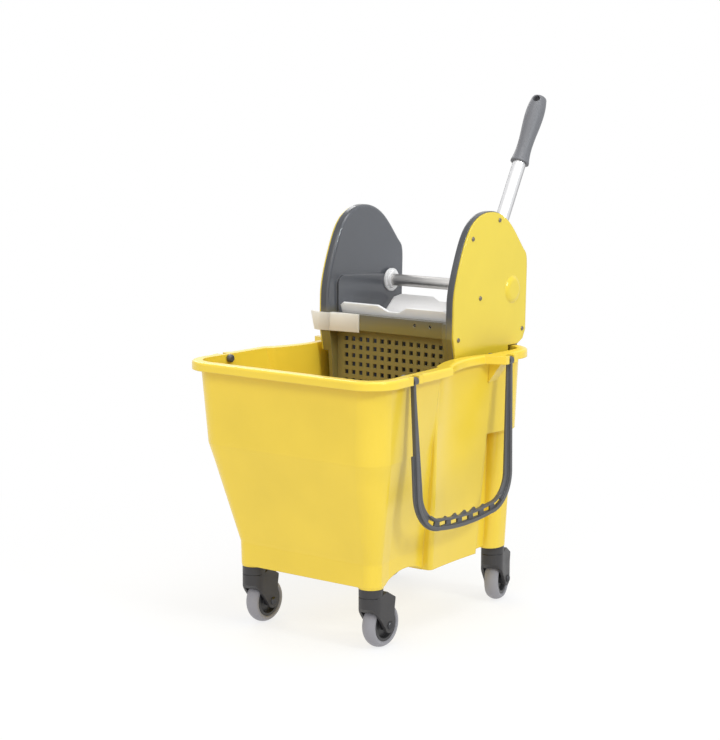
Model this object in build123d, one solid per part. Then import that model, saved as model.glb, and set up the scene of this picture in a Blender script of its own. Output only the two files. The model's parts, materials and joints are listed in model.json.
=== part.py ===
from build123d import *
from math import acos, asin, atan2, cos, degrees, hypot, pi, radians, sin, sqrt, tan
import os

os.makedirs("parts", exist_ok=True)

# Mop bucket trolley with a down-press wringer, in millimetres.
# The origin is on the floor midway between the four caster swivels.
# +X is the right side seen from the front, -Y is the front, +Z is up.

# Fits shared by all pieces
RUN_FIT = 0.05
SEAT_FIT = 0.02
FACE_GAP = 0.3
ROUND_STEPS = 3

# Casters
CASTER_X = 120.7
CASTER_Y = 175.3
WHEEL_D = 75.0
TYRE_W = 24.0
TYRE_CROWN = 5.0
TYRE_CHAMFER = 2.0
HUB_D = 54.0
HUB_RIM_T = 4.5
HUB_BOSS_R = 8.5
HUB_WEB_T = 7.0
TRAIL = 25.0
FOOT_Z = 102.0
COLLAR_D = 39.5
STEM_D = 11.0
STEM_GRIP = 40.0
AXLE_D = 8.0
AXLE_HEAD_R = 6.5
AXLE_HEAD_T = 3.0
FORK_LEG = 5.5
GROOVE_DEEP = 1.2
GROOVE_W = 1.8
GROOVE_DROP = 13.0
AXLE_BOSS_R = 12.0
STEM_HEAD_R = 8.0
STEM_HEAD_T = 4.0
TYRE_CLEAR = 3.0
REAR_RIGHT_TURN = 15.0
WHEEL_R = WHEEL_D / 2
COLLAR_R = COLLAR_D / 2
AXLE_AT = (TRAIL, WHEEL_R)
STEM_HEAD_Z = WHEEL_D - TYRE_CLEAR

# Bucket
RIM_Z = 448.0
RIM_HALF_W = 188.0
SHOULDER_Z = 312.0
BEND_Z = 284.0
KNEE_Z = 143.0
BASE_Z = 105.0
WALL = 3.5
FLOOR_T = 4.0
LIP_W = 14.0
LIP_H = 14.0
LIP_T = 3.0
LIP_ROUND = 4.0
PANEL_EDGE = 0.6
FRONT_FOOT_R = 21.0
REAR_FOOT_R = 20.5
PILLAR_SWELL = 1.5
FOOT_STEP = 0.5
ARCH_FRONT_Y = -166.0
ARCH_REAR_Y = -45.0
ARCH_Z = 120.0
LUG_HALF = 18.0
LUG_FLARE = 14.0
GUSSET_HALF = 12.0
GUSSET_Z = 399.0
GUSSET_BACK = 8.0

# Carrying bails
BAIL_X = RIM_HALF_W + 7.0
BAIL_FRONT_Y = -165.0
BAIL_REAR_Y = 106.0
BAIL_Z = RIM_Z - 8.5
BAIL_DROP = 252.5
BAIL_TILT = 1.6
BAIL_T = 7.0
BAIL_WEB = 3.5
BAIL_ARM = 9.0
BAIL_DRAW = 5.0
BAIL_WIDEN = 8.5
BAIL_BEAD = 5.5
BAIL_RIB = 1.5
BAIL_FLANGE = 5.0
BAIL_GRIP = 20.0
GRIP_BEAD = 3.5
GRIP_BEAD_TOP = 14.0
NOTCH_ROOM = 2.5
BAIL_PIN_D = 5.0
BAIL_PIN_REACH = 16.0
BAIL_EYE_D = 13.0
BAIL_EYE_L = 10.2
CAP_D = 13.5
CAP_T = 7.0
CAP_Z = RIM_Z - 7.0
CAP_ROUND = 2.0
CAP_SHANK_D = 6.0
CAP_SHANK_L = 4.0
CAP_STAND_OFF = (3.0, 1.0)
BAIL_CORNER_R = 70.0
BAIL_BOW = 5.0
BAIL_FLANGE_Z = 322.0
BAIL_SLOTS = 7
SLOT_PITCH = 31.5
SLOT_L = 19.0
SLOT_H = 7.0
BAIL_TEETH = 5
TOOTH_PITCH = 27.0
TOOTH_L = 21.0
TOOTH_H = 6.5
TOOTH_SHIFT = -5.0

# Wringer side cheeks and covers
CHEEK_IN = 122.0
PAD_IN = 117.0
CHEEK_PLATE = 3.0
CHEEK_WALL = 3.0
COVER_IN = 135.5
COVER_T = 3.5
COVER_BOTTOM = 436.0
SEAT_Z = SHOULDER_Z + FLOOR_T
COVER_SCREWS = [(158.5, 664.0), (79.0, 638.0), (102.0, 538.0), (231.5, 474.0), (38.0, 475.0)]
SCREW_D = 3.8
SCREW_HEAD_D = 7.6
SCREW_HEAD_T = 1.8
BOSS_R = 4.0
BUSH_R = 14.0
BUSH_FLANGE_R = 20.0
BUSH_RING_R = 15.0
BUSH_FLANGE_T = 4.0
BUSH_RING_T = 5.0
CHEEK_ROUND = 5.0
COVER_INSET = 1.5
COVER_BOSS_R = 23.0
COVER_BOSS_H = 4.5
PAD_FRONT_Y = 50.0
PAD_TOP = 564.0
PAD_FALL = 12.0
PAD_ROUND = 16.0
LEG_FRONT_Y = 40.0
SOLE_T = 5.0

# Press mechanism, as places in the side view (Y, Z)
SHAFT_AT = (200.0, 544.0)
REAR_HINGE = (172.0, 487.0)
FRONT_HINGE = (66.0, 468.0)
SHAFT_D = 20.5
SHAFT_BORE = 15.5
HINGE_ROD_D = 10.0
IDLER_PIN_D = 8.0
MODULE = 3.0
PRESSURE = radians(25)
BACKLASH = 0.5
DRIVE_TEETH = 18
IDLER_TEETH = 16
REVERSER_TEETH = 20
REAR_TEETH = 12
FRONT_TEETH = 14
GEAR_GAP = 0.5

# Press flaps
FLAP_HALF = 110.0
FLAP_T = 4.0
FLAP_BARREL_R = 8.0
FRONT_FLAP_CUT = 4.0
REAR_FLAP_CUT = 8.0
FRONT_FLAP_L = 55.0
FRONT_FLAP_LEAN = 21.0
REAR_FLAP_L = 47.0
REAR_FLAP_LEAN = -50.0
NOTCH_TOP = 60.0
NOTCH_LOW = 22.0
NOTCH_DEEP = 10.0

# Basket between the cheeks
BAND_Y = 33.0
BAND_Z = 475.0
BAND_TOP = 502.0
BAND_T = 3.0
BAND_HOLE_X = (54.8, 86.1)
BAND_HOLE_Z = 493.0
BAND_HOLE_D = 5.0
SCREEN_Y = 47.0
SCREEN_T = 3.5
SCREEN_TOP = 490.0
REAR_SCREEN_Y = 182.0
REAR_SCREEN_TOP = 474.0
TRAY_Z = 336.0
HOLE = 7.5
HOLE_PITCH_X = 15.1
HOLE_PITCH_Z = 14.5
HOLE_COLUMNS = 14
HOLE_ROWS = 8
HOLE_TOP_Z = 458.0
DRAIN_L = 20.0
DRAIN_W = 8.0
DRAIN_PITCH = 30.0

# Lever handle
HANDLE_X = 75.0
HANDLE_LEAN = 29.7
HANDLE_L = 368.0
TUBE_D = 23.5
TUBE_WALL = 1.8
SOCKET_R = 15.0
SOCKET_L = 70.0
SOCKET_HALF = 18.0
BOLT_R = 3.0
BOLT_HEAD = 2.5
BOLT_UP = 52.0
GRIP_L = 130.0
GRIP_D = 30.5
GRIP_FLANGE_D = 33.0
GRIP_FLANGE_T = 2.5
GRIP_NECK_D = 26.8
GRIP_NECK_UP = 26.0
GRIP_SWELL_UP = 66.0
GRIP_END_D = 27.0
GRIP_END_ROUND = 7.0
GRIP_CAP = 24.0
HANG_HOLE_D = 13.0
HANG_HOLE_DOWN = 10.0
HANG_HOLE_TURN = 12.0

# Corner guard on the left of the wringer
GUARD_T = 3.0
GUARD_Z = 472.0
GUARD_TOP = 503.0
GUARD_RIGHT_X = -60.0
GUARD_TAIL = 20.0
GUARD_BACK = 7.0
GUARD_SLANT = 10.0


def rod(radius, start, end):
    """A round bar from one point to another."""
    a, b = Vector(*start), Vector(*end)
    return Part() + Solid.make_cylinder(radius, (b - a).length, Plane(a, z_dir=b - a))


def rod_x(radius, x0, x1, place):
    """A round bar along X at a place (Y, Z) of the side view."""
    return rod(radius, (x0, *place), (x1, *place))


def block(x0, x1, y0, y1, z0, z1):
    """A block between two corners."""
    return Pos((x0 + x1) / 2, (y0 + y1) / 2, (z0 + z1) / 2) * Box(x1 - x0, y1 - y0, z1 - z0)


def side_plate(points, x0, x1):
    """A plate with a straight-sided outline in the side view (Y, Z)."""
    face = Face(Wire.make_polygon([(x0, y, z) for y, z in points], close=True))
    return Part() + Solid.extrude(face, Vector(x1 - x0, 0, 0))


def front_plate(points, y0, y1):
    """A plate with a straight-sided outline in the front view (X, Z)."""
    face = Face(Wire.make_polygon([(x, y0, z) for x, z in points], close=True))
    return Part() + Solid.extrude(face, Vector(0, y1 - y0, 0))


def turned_x(points):
    """A ring turned about X from a section of (along, radius) points."""
    corners = [(along, radius, 0) for along, radius in points]
    return Part() + revolve(Face(Wire.make_polygon(corners, close=True)), axis=Axis.X)


def quarter_round(radius):
    """Steps of a quarter round as (inset, depth), from the face to the side."""
    turns = [i * pi / 2 / ROUND_STEPS for i in range(ROUND_STEPS + 1)]
    return [(radius * (1 - sin(turn)), radius * (1 - cos(turn))) for turn in turns]


def mirrored(shape):
    """The same piece for the left side."""
    return mirror(shape, about=Plane.YZ)


def save(name, *shapes):
    """Write the solids of one node."""
    solids = [solid for shape in shapes for solid in shape.solids()]
    whole = solids[0] if len(solids) == 1 else Compound(children=solids)
    export_step(whole, f"parts/{name}.step")


# Casters

def caster_stem():
    """Steel stem that grips the bucket foot, with a head that holds the fork up."""
    head_top = STEM_HEAD_Z + STEM_HEAD_T
    stem = rod(STEM_D / 2, (0, 0, head_top), (0, 0, FOOT_Z + STEM_GRIP))
    return stem + rod(STEM_HEAD_R, (0, 0, STEM_HEAD_Z), (0, 0, head_top))


def caster_fork():
    """Moulded fork: a round collar over two legs that sweep back to the axle."""
    top = FOOT_Z - FACE_GAP
    crown = WHEEL_D + TYRE_CLEAR
    tail_y = TRAIL + AXLE_BOSS_R + 2.5
    outline = [
        (-COLLAR_R + 1, crown + 6), (-COLLAR_R + 3, crown - 5), (TRAIL - AXLE_BOSS_R + 1, WHEEL_R - 4),
        (TRAIL + AXLE_BOSS_R, WHEEL_R), (TRAIL + AXLE_BOSS_R, crown - 14), (tail_y, crown + 1),
        (tail_y, crown + 4), (COLLAR_R - 2, top - 7),
    ]
    legs = side_plate(outline, -COLLAR_R, COLLAR_R)
    plan = rod(COLLAR_R, (0, 0, 0), (0, 0, FOOT_Z)) + block(-COLLAR_R, COLLAR_R, 0, WHEEL_D, 0, FOOT_Z)
    legs &= plan
    legs += rod_x(AXLE_BOSS_R, -COLLAR_R, COLLAR_R, AXLE_AT)
    collar = rod(COLLAR_R, (0, 0, crown - 8), (0, 0, top))
    groove_low, groove_top = top - GROOVE_DROP - GROOVE_W, top - GROOVE_DROP
    ring = rod(COLLAR_R + 1, (0, 0, groove_low), (0, 0, groove_top))
    collar -= ring - rod(COLLAR_R - GROOVE_DEEP, (0, 0, groove_low - 1), (0, 0, groove_top + 1))
    slot_half = COLLAR_R - FORK_LEG
    slot_r = WHEEL_R + TYRE_CLEAR
    slot = rod_x(slot_r, -slot_half, slot_half, AXLE_AT)
    slot += block(-slot_half, slot_half, TRAIL - slot_r, TRAIL + slot_r, -1, WHEEL_R)
    head_seat = STEM_HEAD_Z + STEM_HEAD_T + RUN_FIT
    bore = rod(STEM_D / 2 + RUN_FIT, (0, 0, 0), (0, 0, top + 1))
    bore += rod(STEM_HEAD_R + FACE_GAP, (0, 0, 0), (0, 0, head_seat))
    return legs + collar - slot - bore - rod_x(AXLE_D / 2 + SEAT_FIT, -COLLAR_D, COLLAR_D, AXLE_AT)


def caster_axle():
    """Axle bolt with a domed head at each end."""
    end, rim = COLLAR_R + AXLE_HEAD_T, COLLAR_R + AXLE_HEAD_T / 3
    crown_r = 0.7 * AXLE_HEAD_R
    section = [
        (-end, 0), (end, 0), (end, crown_r), (rim, AXLE_HEAD_R), (COLLAR_R, AXLE_HEAD_R),
        (COLLAR_R, AXLE_D / 2), (-COLLAR_R, AXLE_D / 2), (-COLLAR_R, AXLE_HEAD_R),
        (-rim, AXLE_HEAD_R), (-end, crown_r),
    ]
    return Pos(0, *AXLE_AT) * turned_x(section)


def caster_hub():
    """Dark wheel centre: boss, dished web and rim."""
    boss_half = COLLAR_R - FORK_LEG - 0.6
    rim_r = HUB_D / 2 - SEAT_FIT
    rim_half = TYRE_W / 2 - TYRE_CHAMFER + 0.5
    rim_in = rim_r - HUB_RIM_T
    web_half = HUB_WEB_T / 2
    bore_r = AXLE_D / 2 + RUN_FIT
    web_in, web_out = HUB_BOSS_R + 1, rim_in - 2
    section = [
        (-boss_half, bore_r), (boss_half, bore_r), (boss_half, HUB_BOSS_R), (web_half + 2, web_in),
        (web_half, web_out), (rim_half, rim_in), (rim_half, rim_r), (-rim_half, rim_r), (-rim_half, rim_in),
        (-web_half, web_out), (-web_half - 2, web_in), (-boss_half, HUB_BOSS_R),
    ]
    return Pos(0, *AXLE_AT) * turned_x(section)


def caster_tyre():
    """Soft grey tyre with a crowned tread."""
    half, inner = TYRE_W / 2, HUB_D / 2
    bead, shoulder = half - TYRE_CHAMFER, WHEEL_R - TYRE_CROWN
    corners = [(-half, shoulder), (-half, inner + TYRE_CHAMFER), (-bead, inner), (bead, inner),
               (half, inner + TYRE_CHAMFER), (half, shoulder)]
    edges = [Edge.make_line(a, b) for a, b in zip(corners, corners[1:])]
    edges.append(Edge.make_three_point_arc(corners[-1], (0, WHEEL_R), corners[0]))
    return Pos(0, *AXLE_AT) * (Part() + revolve(Face(Wire(edges)), axis=Axis.X))


CASTERS = {
    "front_left": (-CASTER_X, -CASTER_Y, 0), "front_right": (CASTER_X, -CASTER_Y, 0),
    "rear_left": (-CASTER_X, CASTER_Y, 0), "rear_right": (CASTER_X, CASTER_Y, REAR_RIGHT_TURN),
}
CASTER_PIECES = {
    "stem": caster_stem(), "fork": caster_fork(), "axle": caster_axle(),
    "hub": caster_hub(), "tyre": caster_tyre(),
}
for corner, (caster_x, caster_y, turn) in CASTERS.items():
    for piece, shape in CASTER_PIECES.items():
        save(f"{corner}_caster_{piece}", Pos(caster_x, caster_y, 0) * Rot(0, 0, turn) * shape)


# Bucket: level outlines of the right half, from the front to the rear.
# column: end of the rounded front column; step_in, step_out: the edge of the middle panel;
# waist: the middle of the panel; panel_end, recess: the rear edge of the panel.

RIM = dict(front=-252, rear=203, w_front=RIM_HALF_W, r_front=40, w_rear=170, r_rear=40, step=-1,
           column=(RIM_HALF_W - 2, -180), step_in=(RIM_HALF_W - 7, -71), step_out=(171, -62), waist=(151, 20),
           panel_end=(165, 98), recess=(167, 106))
SHOULDER = dict(front=-244, rear=200, w_front=180, r_front=40, w_rear=165, r_rear=40, step=1,
                column=(176, -175), step_in=(155, -58), step_out=(162, -57), waist=(149, 22),
                panel_end=(156, 100), recess=(157, 106))
LEDGE = dict(SHOULDER, rear=198, w_rear=126, r_rear=24, recess=(126, 103))
BEND = dict(LEDGE, front=-236, w_front=174, r_front=38, column=(170, -170), step_in=(152, -56),
            step_out=(160, -55), waist=(148, 22), panel_end=(154, 100), recess=(125, 103))
KNEE = dict(front=-CASTER_Y - FRONT_FOOT_R - 1, rear=197, w_front=CASTER_X + FRONT_FOOT_R + 1,
            r_front=FRONT_FOOT_R + 1, w_rear=123, r_rear=24, step=1,
            column=(138, -150), step_in=(131, -47), step_out=(147, -46), waist=(142, 22),
            panel_end=(141, 97), recess=(123, 100))
BASE = dict(front=-CASTER_Y - FRONT_FOOT_R, rear=196, w_front=CASTER_X + FRONT_FOOT_R, r_front=FRONT_FOOT_R,
            w_rear=121, r_rear=22, step=1,
            column=(136, -150), step_in=(127, -44), step_out=(143, -43), waist=(139, 22),
            panel_end=(139, 95), recess=(121, 97))
PILLAR_BASE = (CASTER_X, 165.0, CASTER_Y)
PILLAR_TOP = (130.0, 168.0, 179.0)


def towards(start, end, reach):
    """The point at a distance from start on the way to end."""
    way = (end[0] - start[0], end[1] - start[1])
    share = reach / hypot(*way)
    return (start[0] + share * way[0], start[1] + share * way[1])


def level_wire(level, z, grow=0.0):
    """Closed outline of one level, grown outwards by grow."""
    def moved(name, along):
        x, y = level[name]
        return (x + grow, y + along * grow)

    front, rear = level["front"] - grow, level["rear"] + grow
    w_front, r_front = level["w_front"] + grow, level["r_front"] + grow
    w_rear, r_rear = level["w_rear"] + grow, level["r_rear"] + grow
    side = -level["step"]
    diagonal = 1 - sqrt(0.5)
    corner_f = (w_front - diagonal * r_front, front + diagonal * r_front)
    corner_r = (w_rear - diagonal * r_rear, rear - diagonal * r_rear)
    step_in, edge, waist = moved("step_in", side), moved("step_out", side), moved("waist", 0)
    reach = PANEL_EDGE * hypot(step_in[0] - edge[0], step_in[1] - edge[1])
    before, after = towards(edge, step_in, reach), towards(edge, waist, reach)
    chord = ((before[0] + after[0]) / 2, (before[1] + after[1]) / 2)
    crown = ((edge[0] + chord[0]) / 2, (edge[1] + chord[1]) / 2)
    path = [
        ((w_front - r_front, front), None), ((w_front, front + r_front), corner_f),
        (moved("column", 0), None), (step_in, None), (before, None), (after, crown),
        (moved("panel_end", 1), waist), (moved("recess", 1), None),
        ((w_rear, rear - r_rear), None), ((w_rear - r_rear, rear), corner_r),
    ]
    edges = []
    for mirror_x in (1, -1):
        def at(point):
            return (mirror_x * point[0], point[1], z)

        start = (0, front)
        for end, middle in path + [((0, rear), None)]:
            if middle is None:
                edges.append(Edge.make_line(at(start), at(end)))
            else:
                edges.append(Edge.make_three_point_arc(at(start), at(middle), at(end)))
            start = end
    return Wire(edges)


def level_slab(grow, z0, z1):
    """A slab with the outline of the rim, grown by grow."""
    return Part() + Solid.extrude(Face(level_wire(RIM, z0, grow)), Vector(0, 0, z1 - z0))


def lip_slab():
    """The outside of the lip, with its upper edge rolled over."""
    steps = reversed(quarter_round(LIP_ROUND))
    roll = Solid.make_loft([level_wire(RIM, RIM_Z - depth, LIP_W - inset) for inset, depth in steps], True)
    return level_slab(LIP_W, RIM_Z - LIP_H, RIM_Z - LIP_ROUND) + roll


def bucket_form(grow, lift, top):
    """The body of the bucket without feet: a tapered lower part and a wider upper part."""
    lower = Solid.make_loft([
        level_wire(BASE, BASE_Z + lift, grow), level_wire(KNEE, KNEE_Z, grow),
        level_wire(BEND, BEND_Z, grow), level_wire(LEDGE, SHOULDER_Z + lift, grow)], True)
    upper = Solid.make_loft([
        level_wire(SHOULDER, SHOULDER_Z + lift, grow), level_wire(RIM, top, grow)], True)
    return Part() + lower + upper


def pillar(grow, z0, z1):
    """Rear caster pillar that leans outwards as it rises."""
    def slot(z):
        t = (z - FOOT_Z) / (SHOULDER_Z - FOOT_Z)
        x, y0, y1 = (a + t * (b - a) for a, b in zip(PILLAR_BASE, PILLAR_TOP))
        r = REAR_FOOT_R + grow + PILLAR_SWELL * t
        return Wire([
            Edge.make_line((x + r, y0, z), (x + r, y1, z)),
            Edge.make_three_point_arc((x + r, y1, z), (x, y1 + r, z), (x - r, y1, z)),
            Edge.make_line((x - r, y1, z), (x - r, y0, z)),
            Edge.make_three_point_arc((x - r, y0, z), (x, y0 - r, z), (x + r, y0, z))])

    return Part() + Solid.make_loft([slot(z0), slot(z1)], True)


def bail_lug(y, inner_x):
    """Solid ear in the lip that holds a bail pin, on the right side."""
    outer_x = RIM["column"][0] + LIP_W
    foot = LUG_HALF + LUG_FLARE
    plan = [(inner_x, y - foot), (outer_x, y - LUG_HALF), (outer_x, y + LUG_HALF), (inner_x, y + foot)]
    face = Face(Wire.make_polygon([(a, b, RIM_Z - LIP_H) for a, b in plan], close=True))
    return Part() + Solid.extrude(face, Vector(0, 0, LIP_H))


def cap_places():
    """Where the caps of the right bail's ears stand off the inside of the wall, as (X, Y)."""
    walls = (RIM["column"][0], BAIL_FRONT_Y), (RIM["panel_end"][0], BAIL_REAR_Y)
    return [(x - WALL - stand_off, y) for (x, y), stand_off in zip(walls, CAP_STAND_OFF)]


def cap_shank(x, y, fit=0.0):
    """Short shank of a cap that grips the wall."""
    return rod_x(CAP_SHANK_D / 2 + fit, x, x + CAP_SHANK_L + fit, (y, CAP_Z))


def bail_cap(x, y):
    """Round cap inside the bucket behind a bail's ear."""
    r = CAP_D / 2
    head = turned_x([(x - CAP_T, 0), (x - CAP_T, r - CAP_ROUND), (x - CAP_T + CAP_ROUND, r), (x, r), (x, 0)])
    return Pos(0, y, CAP_Z) * head + cap_shank(x, y)


def bail_notch(y):
    """Room for a bail eye in the lip, with the holes of its pin."""
    half = BAIL_ARM / 2 + NOTCH_ROOM
    eye_r = BAIL_EYE_D / 2
    notch = block(BAIL_X - eye_r - 0.5, BAIL_X + 2 * eye_r, y - half, y + half,
                  RIM_Z - LIP_H - 2, RIM_Z + 1)
    pin_r = BAIL_PIN_D / 2 + SEAT_FIT
    return notch + rod(pin_r, (BAIL_X, y - BAIL_PIN_REACH, BAIL_Z), (BAIL_X, y + BAIL_PIN_REACH, BAIL_Z))


def arch_cut(rise):
    """Room under the front half of the floor: a shallow arch behind the front feet."""
    low = FOOT_Z - FLOOR_T
    foot, heel = (ARCH_FRONT_Y, FOOT_Z + 1 + rise), (ARCH_REAR_Y, BASE_Z + 2 + rise)
    crown = ((ARCH_FRONT_Y + ARCH_REAR_Y) / 2, ARCH_Z + rise)
    corners = [heel, (heel[0], low), (foot[0], low), foot]
    edges = [Edge.make_line((-BAIL_X, *a), (-BAIL_X, *b)) for a, b in zip(corners, corners[1:])]
    edges.append(Edge.make_three_point_arc(*[(-BAIL_X, *point) for point in (foot, crown, heel)]))
    return Part() + Solid.extrude(Face(Wire(edges)), Vector(2 * BAIL_X, 0, 0))


def bucket():
    """Moulded bucket with a rolled lip, four feet and ears for the bails."""
    body = bucket_form(0, 0, RIM_Z) - arch_cut(0)
    void = bucket_form(-WALL, FLOOR_T, RIM_Z + 1) - arch_cut(FLOOR_T)
    lip = lip_slab() - level_slab(LIP_W - LIP_T, RIM_Z - LIP_H, RIM_Z - LIP_T)
    body += lip
    boss_top = FOOT_Z + STEM_GRIP + FLOOR_T
    bosses = Part()
    for x in (CASTER_X, -CASTER_X):
        body += rod(FRONT_FOOT_R - FOOT_STEP, (x, -CASTER_Y, FOOT_Z), (x, -CASTER_Y, BASE_Z + FLOOR_T - 1))
        for y in (CASTER_Y, -CASTER_Y):
            bosses += rod(STEM_D / 2 + 2 * WALL, (x, y, FOOT_Z), (x, y, boss_top))
    for side in (1, -1):
        foot, hollow = pillar(0, FOOT_Z, SHOULDER_Z), pillar(-WALL, boss_top, SHOULDER_Z + FLOOR_T + 1)
        wall_x = RIM["panel_end"][0]
        lugs = bail_lug(BAIL_FRONT_Y, RIM["column"][0] - WALL) + bail_lug(BAIL_REAR_Y, wall_x - WALL / 2)
        gusset_low = (wall_x - WALL, GUSSET_Z)
        gusset_top = [(wall_x - WALL / 2, RIM_Z - LIP_H), (BAIL_X - GUSSET_BACK, RIM_Z - LIP_H)]
        gusset = front_plate([*gusset_top, gusset_low], BAIL_REAR_Y - GUSSET_HALF, BAIL_REAR_Y + GUSSET_HALF)
        notches = bail_notch(BAIL_FRONT_Y) + bail_notch(BAIL_REAR_Y)
        for cap_x, cap_y in cap_places():
            notches += cap_shank(cap_x, cap_y, SEAT_FIT)
        if side < 0:
            foot, hollow, lugs = mirrored(foot), mirrored(hollow), mirrored(lugs)
            gusset, notches = mirrored(gusset), mirrored(notches)
        body = body + foot + lugs + gusset - notches
        void += hollow
    shell = body - void + bosses
    for x in (CASTER_X, -CASTER_X):
        for y in (CASTER_Y, -CASTER_Y):
            shell -= rod(STEM_D / 2 + SEAT_FIT, (x, y, FOOT_Z - 1), (x, y, FOOT_Z + STEM_GRIP + SEAT_FIT))
    return shell


save("bucket", bucket())


# Carrying bails

def bail_loop(x0, x1, y0, y1, low, corner_r, spread):
    """Solid U-shape in the side view: round corners, a bowed bottom and sides that spread upwards."""
    middle, top, side = (y0 + y1) / 2, BAIL_Z, low + BAIL_BOW + corner_r
    turn = corner_r * (1 - sqrt(0.5))

    def line(*points):
        return Edge.make_line(*[(x0, *point) for point in points])

    def arc(*points):
        return Edge.make_three_point_arc(*[(x0, *point) for point in points])

    left, right = (y0 + corner_r, low + BAIL_BOW), (y1 - corner_r, low + BAIL_BOW)
    left_top, right_top = (y0 - spread, top), (y1 + spread, top)
    bend = low + BAIL_BOW + turn
    edges = [
        line(right_top, left_top), line(left_top, (y0, side)),
        arc((y0, side), (y0 + turn, bend), left), arc(left, (middle, low), right),
        arc(right, (y1 - turn, bend), (y1, side)), line((y1, side), right_top),
    ]
    return Part() + Solid.extrude(Face(Wire(edges)), Vector(x1 - x0, 0, 0))


def bail():
    """Right bail: a thin web with a bead along it, a slotted grip, finger teeth and an eye at each end."""
    low = BAIL_Z - BAIL_DROP
    half = BAIL_ARM / 2
    y0, y1 = BAIL_FRONT_Y - half + BAIL_DRAW, BAIL_REAR_Y + half - BAIL_DRAW
    x0, x1 = BAIL_X - BAIL_T / 2, BAIL_X + BAIL_T / 2
    web_x = x0 + BAIL_WEB
    middle = (y0 + y1) / 2
    arm = BAIL_ARM + BAIL_WIDEN
    arm_r = BAIL_CORNER_R - BAIL_FLANGE

    def loop(xa, xb, inset, rise, spread):
        return bail_loop(xa, xb, y0 + inset, y1 - inset, low + rise, arm_r - inset, spread)

    def below(shape, z):
        return shape & block(x0 - 1, x1 + 1, y0 - BAIL_DROP, y1 + BAIL_DROP, low - 1, z)

    inside = BAIL_DRAW + BAIL_WIDEN
    web = loop(x0, web_x, 0, BAIL_RIB, BAIL_DRAW)
    flange = below(loop(x0, web_x, -BAIL_FLANGE, 0, BAIL_DRAW), BAIL_FLANGE_Z)
    bead = loop(x0, x1, 0, BAIL_RIB, BAIL_DRAW)
    bead -= loop(x0 - 1, x1 + 1, BAIL_BEAD, BAIL_BEAD + BAIL_RIB, BAIL_DRAW)
    hand_bead = loop(x0, x1, arm - GRIP_BEAD, BAIL_GRIP - GRIP_BEAD, inside)
    solid = web + flange + bead + below(hand_bead, low + BAIL_GRIP + GRIP_BEAD_TOP)
    solid -= loop(x0 - 1, x1 + 1, arm, BAIL_GRIP, inside)
    bend_r = BAIL_CORNER_R - BAIL_GRIP / 2
    flat_half = (y1 - y0) / 2 - arm_r
    slot_z = low + (BAIL_RIB + BAIL_BEAD + BAIL_GRIP - GRIP_BEAD) / 2
    for i in range(BAIL_SLOTS):
        along = (i - (BAIL_SLOTS - 1) / 2) * SLOT_PITCH
        past = max(0.0, abs(along) - flat_half)
        rise = bend_r - sqrt(bend_r ** 2 - past ** 2) + BAIL_BOW * min(1.0, (along / flat_half) ** 2)
        turn = degrees(asin(past / bend_r)) * (1 if along > 0 else -1)
        slot = Box(3 * BAIL_T, SLOT_L, SLOT_H)
        solid -= Pos(BAIL_X, middle + along, slot_z + rise) * Rot(turn, 0, 0) * slot
    base = low + BAIL_GRIP - 1
    for i in range(BAIL_TEETH):
        y = middle + TOOTH_SHIFT + (i - (BAIL_TEETH - 1) / 2) * TOOTH_PITCH
        tooth = [(y - TOOTH_L / 2, base), (y + TOOTH_L / 2, base), (y + TOOTH_L / 4, base + TOOTH_H)]
        solid += side_plate(tooth, x0, web_x)
    for y in (BAIL_FRONT_Y, BAIL_REAR_Y):
        ends = [(BAIL_X, y - BAIL_EYE_L / 2, BAIL_Z), (BAIL_X, y + BAIL_EYE_L / 2, BAIL_Z)]
        solid = solid + rod(BAIL_EYE_D / 2, *ends) - rod(BAIL_PIN_D / 2 + RUN_FIT, *ends)
    hang = Pos(BAIL_X, 0, BAIL_Z) * Rot(0, -BAIL_TILT, 0) * Pos(-BAIL_X, 0, -BAIL_Z)
    return hang * solid


right_bail = bail()
save("right_bail", right_bail)
save("left_bail", mirrored(right_bail))
right_pins = [
    rod(BAIL_PIN_D / 2, (BAIL_X, y - BAIL_PIN_REACH, BAIL_Z), (BAIL_X, y + BAIL_PIN_REACH, BAIL_Z))
    for y in (BAIL_FRONT_Y, BAIL_REAR_Y)
]
save("bail_pins", *right_pins, *[mirrored(pin) for pin in right_pins])
right_caps = [bail_cap(*place) for place in cap_places()]
save("bail_caps", *right_caps, *[mirrored(cap) for cap in right_caps])


# Gear train: the shaft drives the rear flap through one idler and the front flap through two

def pitch_r(teeth):
    return MODULE * teeth / 2


def meeting_point(a, reach_a, b, reach_b, side):
    """The point at reach_a from a and reach_b from b, on the chosen side of the line a to b."""
    gap = hypot(b[0] - a[0], b[1] - a[1])
    along = (reach_a ** 2 - reach_b ** 2 + gap ** 2) / (2 * gap)
    off = side * sqrt(reach_a ** 2 - along ** 2)
    u = ((b[0] - a[0]) / gap, (b[1] - a[1]) / gap)
    return (a[0] + along * u[0] - off * u[1], a[1] + along * u[1] + off * u[0])


IDLER_AT = meeting_point(SHAFT_AT, pitch_r(DRIVE_TEETH) + pitch_r(IDLER_TEETH),
                         REAR_HINGE, pitch_r(IDLER_TEETH) + pitch_r(REAR_TEETH), -1)
REVERSER_AT = meeting_point(IDLER_AT, pitch_r(IDLER_TEETH) + pitch_r(REVERSER_TEETH),
                            FRONT_HINGE, pitch_r(REVERSER_TEETH) + pitch_r(FRONT_TEETH), 1)


def meshed_phase(phase, at, teeth, next_at, next_teeth):
    """Turn of the next gear that puts its teeth in the gaps of this one."""
    line = atan2(next_at[1] - at[1], next_at[0] - at[0])
    shift = (phase - line) * pitch_r(teeth) + pi * MODULE / 2
    return line + pi - shift / pitch_r(next_teeth)


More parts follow.
